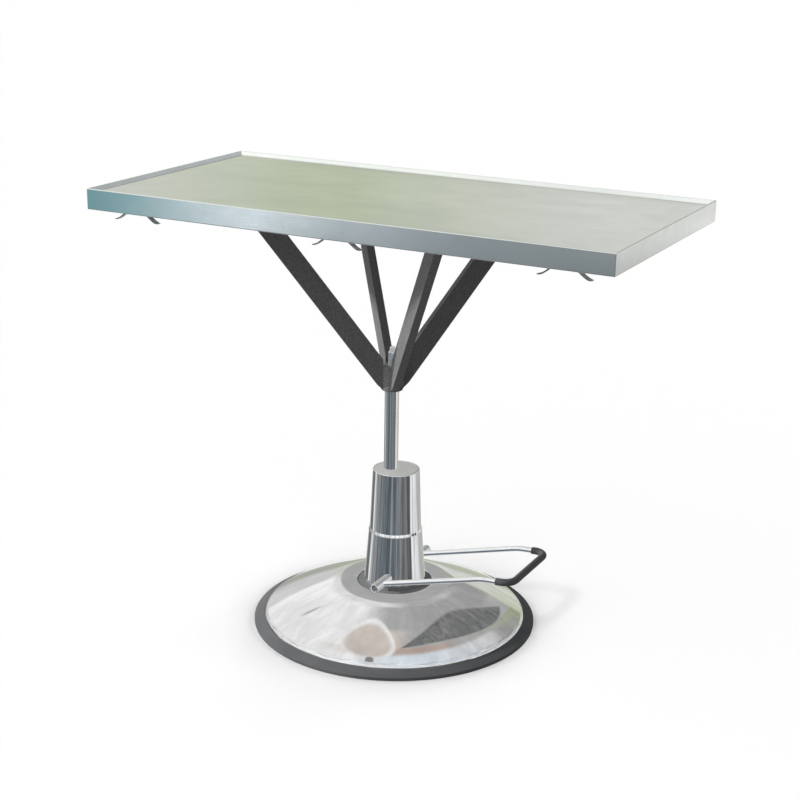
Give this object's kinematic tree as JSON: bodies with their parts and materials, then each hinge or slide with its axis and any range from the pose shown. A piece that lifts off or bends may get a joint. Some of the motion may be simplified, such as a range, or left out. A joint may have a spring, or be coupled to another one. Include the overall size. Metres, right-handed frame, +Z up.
{
  "type": "hydraulic veterinary examination table",
  "caption": "Pedal-operated hydraulic examination table: raised-rim steel tray on splayed arms, a turning and rising ram, tapered pump covers and a domed base.",
  "frame": {"origin": "on the floor, under the middle of the base and of the tray", "axes": "+X along the tray's length towards the pedal, +Y towards the rear, +Z up"},
  "size_m": [1.2, 0.642, 0.9845],
  "materials": {
    "tray_steel": "satin stainless steel",
    "cleat_steel": "satin stainless steel",
    "ram_chrome": "hard chrome, ground",
    "cover_chrome": "bright chrome",
    "pedal_chrome": "bright chrome",
    "dome_polish": "mirror-polished stainless steel",
    "arm_paint": "fine wrinkle powder coat",
    "bumper_rubber": "matte",
    "grip_rubber": "matte",
    "cap_paint": "satin grey",
    "plate_paint": "satin grey",
    "cast_iron": "painted casting",
    "plain_steel": "zinc plated or bright steel",
    "bronze": "turned bearing bronze",
    "seal_rubber": "polyurethane seal",
    "core_wood": "pale laminate on a wood core"
  },
  "bodies": {
    "root": {"bumper_ring": "bumper_rubber", "base_dome": "dome_polish", "base_plate": "plate_paint", "support_tube": "plate_paint", "mounting_plate": "plate_paint", "pump_foot": "cast_iron", "foot_bolt_1": "plain_steel", "foot_bolt_2": "plain_steel", "foot_bolt_3": "plain_steel", "foot_bolt_4": "plain_steel", "ram_cylinder": "plain_steel", "oil_tank": "cast_iron", "tank_head": "cast_iron", "guide_bush": "bronze", "rod_seal": "seal_rubber", "wiper_ring": "seal_rubber", "plunger_barrel": "plain_steel", "plunger_spring": "plain_steel", "release_valve": "plain_steel", "shaft_bush_front": "bronze", "shaft_bush_rear": "bronze", "lower_cover": "cover_chrome", "seam_band": "cover_chrome", "upper_cover": "cover_chrome", "top_cap": "cap_paint"},
    "lift": {"piston_head": "plain_steel", "piston_seal": "seal_rubber", "thrust_washer": "bronze"},
    "top": {"ram_rod": "ram_chrome", "ram_nut": "plain_steel", "hub_tube": "arm_paint", "arm_front_left": "arm_paint", "arm_front_right": "arm_paint", "arm_rear_left": "arm_paint", "arm_rear_right": "arm_paint", "rail_front": "arm_paint", "rail_rear": "arm_paint", "rail_screw_1": "plain_steel", "rail_screw_2": "plain_steel", "rail_screw_3": "plain_steel", "rail_screw_4": "plain_steel", "core_board": "core_wood", "table_tray": "tray_steel", "cleat_front_left": "cleat_steel", "cleat_front_middle": "cleat_steel", "cleat_front_right": "cleat_steel", "cleat_rear_left": "cleat_steel", "cleat_rear_middle": "cleat_steel", "cleat_rear_right": "cleat_steel"},
    "pedal": {"pedal_shaft": "plain_steel", "pedal_boss_front": "pedal_chrome", "pedal_boss_rear": "pedal_chrome", "pedal_bar": "pedal_chrome", "pedal_grip": "grip_rubber", "crank_lever": "plain_steel"},
    "plunger": {"plunger": "plain_steel"}
  },
  "joints": [
    {"name": "lift_slide", "type": "slide", "parent": "root", "child": "lift", "axis": [0, 0, 1], "range_m": [-0.17, 0.06]},
    {"name": "table_turn", "type": "hinge", "parent": "lift", "child": "top", "pos_m": [-0.014, 0, 0.6], "axis": [0, 0, 1], "continuous": true},
    {"name": "pedal_swing", "type": "hinge", "parent": "root", "child": "pedal", "pos_m": [0.016, 0, 0.1235], "axis": [0, 1, 0], "range_deg": [0, 26], "stiffness_Nm_per_rad": 8, "springref_deg": -22.92},
    {"name": "plunger_slide", "type": "slide", "parent": "root", "child": "plunger", "axis": [0, 0, -1], "range_m": [0, 0.012], "deforming": ["plunger_spring"]}
  ],
  "couplings": [
    {"joint": "plunger_slide", "follows": "pedal_swing", "m_per_rad": 0.026}
  ]
}
